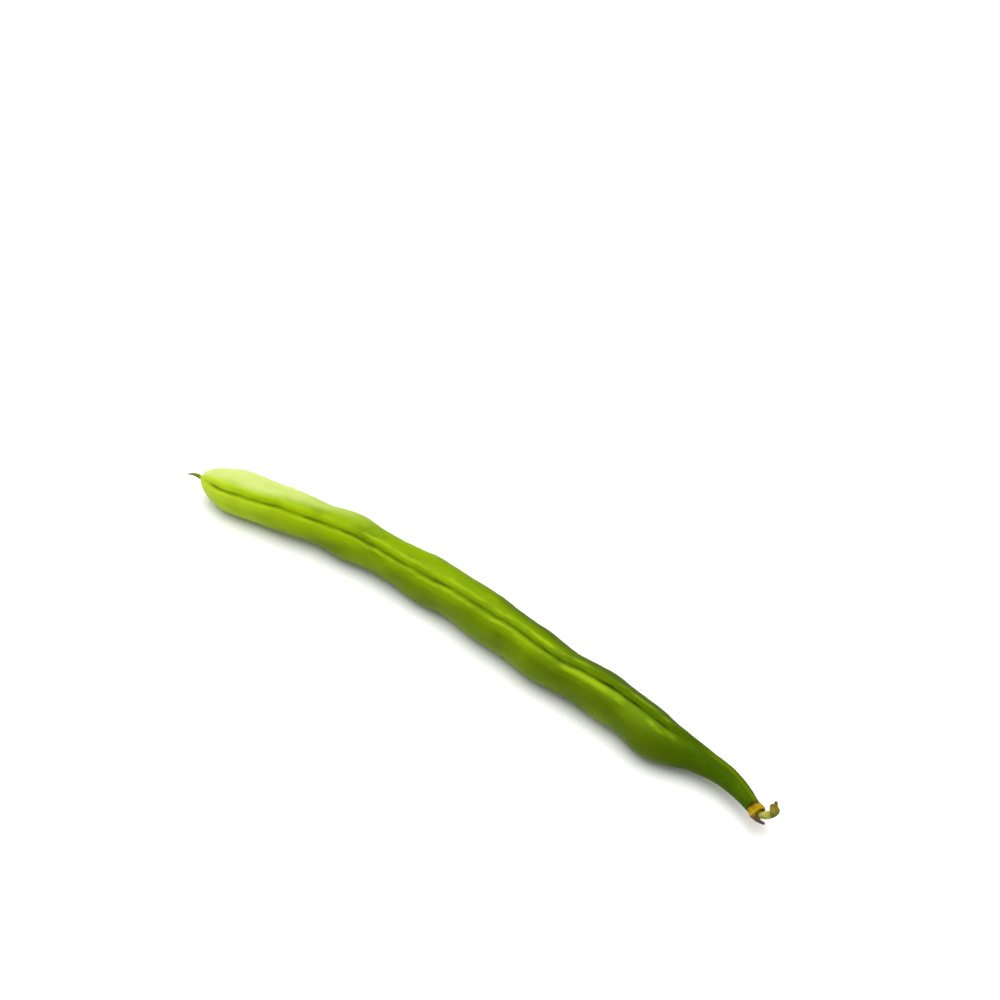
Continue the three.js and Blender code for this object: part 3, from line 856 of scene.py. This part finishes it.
def pod_material():
    """A fresh green skin: paler at the beak, darker at the neck, with painted shade below and along the
    groove.
    """
    material, tree, shader = new_material("pod_skin")
    place = straightened(tree)
    station = marked(tree, "along")
    clouds = noise(tree, place, POD_CLOUDS, 4.0)
    veins = noise(tree, place, POD_VEINS, 4.0, 0.6)
    pores = spots(tree, place, *PORES)
    fine = noise(tree, place, POD_FINE, 3.0)
    colour = pod_ground(tree, station, clouds, veins)
    colour = pod_sides(tree, colour, place, station, clouds)
    colour = pod_groove(tree, colour, place, station)
    colour = pod_specks(tree, colour, place, station, pores)
    patchy = maths(tree, "ADD", maths(tree, "MULTIPLY", clouds, 0.6), fine)
    roughness = fade(tree, patchy, 0.5, 1.1, 0.38, 0.52)
    roughness = maths(tree, "ADD", roughness, maths(tree, "MULTIPLY", marked(tree, "line"), 0.4))
    normal = relief(tree, (
        (clouds, CLOUD_RELIEF), (veins, VEIN_RELIEF), (fine, FINE_RELIEF), (pores, PORE_RELIEF),
    ))
    finish_shader(tree, shader, colour, roughness, normal)
    shader.inputs["IOR"].default_value = 1.4
    shine = fade(tree, marked(tree, "behind"), 0.4, 0.66, 0.12, 0.02)
    shine = maths(tree, "MULTIPLY", shine, fade(tree, station, *GLOSS_DULLS, 1, 0.4))
    shader.inputs["Specular IOR Level"].default_value = 0.1
    tree.links.new(shine, shader.inputs["Specular IOR Level"])
    shader.inputs["Specular Tint"].default_value = (0.95, 1.0, 0.35, 1)
    shader.inputs["Subsurface Weight"].default_value = 0.1
    shader.inputs["Subsurface Radius"].default_value = (0.5, 1.0, 0.15)
    shader.inputs["Subsurface Scale"].default_value = MM
    return material


def calyx_material():
    """A dried husk: golden with brown and yellow patches, painted shade on its lower side, at its rim and in
    its hollow, and a sepal that turns grey.
    """
    material, tree, shader = new_material("calyx_husk")
    place = straightened(tree)
    patches = noise(tree, place, HUSK_PATCHES, 4.0, 0.6)
    colour = mix(tree, fade(tree, patches, 0.35, 0.6), HUSK_BROWN_AND_SHADE, HUSK_GOLD)
    colour = mix(tree, fade(tree, patches, 0.56, 0.72, 0, 0.8), colour, HUSK_YELLOW)
    fibres = noise(tree, place, HUSK_FIBRES, 3.0, 0.6)
    colour = mix(tree, fade(tree, fibres, 0.5, 0.32, 0, 0.5), colour, HUSK_BROWN_AND_SHADE)
    # Painted shade on the husk's lower side.
    colour = mix(tree, fade(tree, marked(tree, "over"), 0.5, -0.6, 0, 0.5), colour, HUSK_BROWN_AND_SHADE)
    colour = mix(tree, fade(tree, marked(tree, "along"), 1.2, 2.1, 0, 0.6), colour, HUSK_YELLOW)
    fringe = fade(tree, marked(tree, "along"), 1.0, 0.4)
    fringe = maths(tree, "MULTIPLY", fringe, fade(tree, marked(tree, "over"), 0.5, 1.1, 0.3, 1))
    colour = mix(tree, fringe, colour, HUSK_FRINGE)
    # Painted shade at the rim and in the hollow.
    colour = mix(tree, fade(tree, marked(tree, "rim"), 0.2, 0.9, 0, 0.85), colour, HUSK_RIM_SHADE)
    colour = mix(tree, fade(tree, marked(tree, "hollow"), 0.1, 0.9, 0, 0.9), colour, HUSK_HOLLOW_SHADE)
    sepal = marked(tree, "sepal")
    withered = maths(tree, "ADD", sepal, fade(tree, fibres, 0.3, 0.7, -0.1, 0.1))
    dried = colours_along(tree, withered, SEPAL_COLOURS)
    colour = mix(tree, fade(tree, sepal, 0.08, 0.3), colour, dried)
    roughness = fade(tree, fibres, 0.3, 0.7, 0.7, 0.92)
    normal = relief(tree, ((patches, HUSK_PATCH_RELIEF), (fibres, DRY_FIBRE_RELIEF)))
    finish_shader(tree, shader, colour, roughness, normal)
    shader.inputs["Specular IOR Level"].default_value = 0.1
    return material


def stalk_material():
    """A pale green stalk, olive at the knob with painted shade under it, and brown where it is torn."""
    material, tree, shader = new_material("stalk_stub")
    place = straightened(tree)
    share = marked(tree, "share")
    patches = noise(tree, place, STALK_PATCHES, 4.0, 0.6)
    uneven = maths(tree, "ADD", share, fade(tree, patches, 0.3, 0.7, -0.06, 0.06))
    colour = colours_along(tree, uneven, STALK_COLOURS)
    prong = fade(tree, marked(tree, "prong"), 0.2, 0.8, 0, 0.85)
    colour = mix(tree, prong, colour, PRONG_TAN)
    fibres = noise(tree, place, STALK_FIBRES, 3.0, 0.65)
    colour = mix(tree, fade(tree, fibres, 0.5, 0.3, 0, 0.4), colour, KNOB_DARK_AND_SHADE)
    colour = mix(tree, fade(tree, fibres, 0.52, 0.7, 0, 0.35), colour, STALK_PALE)
    # Painted shade under the knob.
    low = fade(tree, marked(tree, "over"), 1.4, 0.5)
    below = maths(tree, "MULTIPLY", low, fade(tree, share, 0.34, 0.45, 0, 0.85))
    colour = mix(tree, below, colour, KNOB_DARK_AND_SHADE)
    colour = mix(tree, fade(tree, marked(tree, "torn"), 0.35, 1, 0, 0.6), colour, TORN_BROWN)
    roughness = fade(tree, fibres, 0.3, 0.7, 0.5, 0.8)
    normal = relief(tree, ((patches, STALK_PATCH_RELIEF), (fibres, DRY_FIBRE_RELIEF)))
    finish_shader(tree, shader, colour, roughness, normal)
    shader.inputs["Specular IOR Level"].default_value = 0.12
    shader.inputs["Subsurface Weight"].default_value = 0.1
    shader.inputs["Subsurface Radius"].default_value = (0.4, 0.5, 0.1)
    shader.inputs["Subsurface Scale"].default_value = MM
    return material


def floor_material():
    """Smooth white paper."""
    material, tree, shader = new_material("floor_paper")
    place = put(tree, "ShaderNodeTexCoord", {}).outputs["Object"]
    to_mm = (1 / MM, 1 / MM, 1 / MM)
    in_mm = put(tree, "ShaderNodeVectorMath", {0: place, 1: to_mm}, operation="MULTIPLY").outputs[0]
    grain = noise(tree, in_mm, PAPER_GRAIN)
    colour = mix(tree, fade(tree, grain, 0.3, 0.7, 0, 1), FLOOR_DIM, FLOOR_BRIGHT)
    roughness = fade(tree, grain, 0.3, 0.7, 0.85, 0.95)
    finish_shader(tree, shader, colour, roughness, relief(tree, ((grain, PAPER_RELIEF),)))
    shader.inputs["Specular IOR Level"].default_value = 0.1
    return material


def add_floor():
    """The pale floor, which isn't part of the bean."""
    mesh = bpy.data.meshes.new("floor")
    half = FLOOR_SIZE / 2
    corners = [(-half, -half), (half, -half), (half, half), (-half, half)]
    mesh.from_pydata([(x, y, -FLOOR_GAP * MM) for x, y in corners], [], [(0, 1, 2, 3)])
    floor = bpy.data.objects.new("floor", mesh)
    bpy.context.scene.collection.objects.link(floor)
    mesh.materials.append(floor_material())


def add_sun(name, azimuth, elevation, angle, strength, colour):
    """A soft light from far away, placed as the camera's views are: azimuth 0 shines along +Y."""
    light = bpy.data.lights.new(name, "SUN")
    light.energy = strength
    light.angle = math.radians(angle)
    light.color = colour
    lamp = bpy.data.objects.new(name, light)
    lamp.rotation_euler = (math.radians(90 - elevation), 0, math.radians(azimuth))
    bpy.context.scene.collection.objects.link(lamp)


def add_world():
    """A white room: a low white wall all round, dim above it and bright overhead."""
    world = bpy.data.worlds.new("studio")
    bpy.context.scene.world = world
    world.use_nodes = True
    background = world.node_tree.nodes["Background"]
    background.inputs["Color"].default_value = (1, 1, 1, 1)
    tree = world.node_tree
    direction = put(tree, "ShaderNodeTexCoord", {}).outputs["Generated"]
    height = put(tree, "ShaderNodeSeparateXYZ", {"Vector": direction}).outputs["Z"]
    ceiling = fade(tree, height, 0, 1, LOW_STRENGTH, ZENITH_STRENGTH)
    wall = fade(tree, height, WALL_TOP, WALL_FADE_TOP, WALL_STRENGTH, 0)
    tree.links.new(maths(tree, "MAXIMUM", ceiling, wall), background.inputs["Strength"])


def add_camera():
    """A camera with the photograph's view."""
    data = bpy.data.cameras.new("camera")
    data.lens = LENS
    data.sensor_width = SENSOR
    data.clip_start = CLIP_START
    camera = bpy.data.objects.new("camera", data)
    azimuth = math.radians(VIEW_AZIMUTH)
    elevation = math.radians(VIEW_ELEVATION)
    away = Vector((
        math.sin(azimuth) * math.cos(elevation),
        -math.cos(azimuth) * math.cos(elevation),
        math.sin(elevation),
    ))
    camera.location = (Vector((AIM_X, AIM_Y, 0)) + away * VIEW_DISTANCE) * MM
    camera.rotation_euler = (-away).to_track_quat("-Z", "Y").to_euler()
    bpy.context.scene.collection.objects.link(camera)
    bpy.context.scene.camera = camera


# The stage first, and then the three pieces, each in the place of its node.
bpy.context.scene.view_settings.view_transform = "Standard"
add_camera()
add_world()
add_floor()
add_sun("key_light", KEY_AZIMUTH, KEY_ELEVATION, KEY_SOFTNESS, KEY_STRENGTH, KEY_COLOUR)

for make, material, node, slot in (
    (pod_piece, pod_material, "pod", "pod_skin"),
    (calyx_piece, calyx_material, "calyx", "dry_calyx"),
    (stalk_piece, stalk_material, "stalk", "stalk_skin"),
):
    piece = make()
    piece.data.materials.append(material())
    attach(piece, "root")
    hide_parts(node)
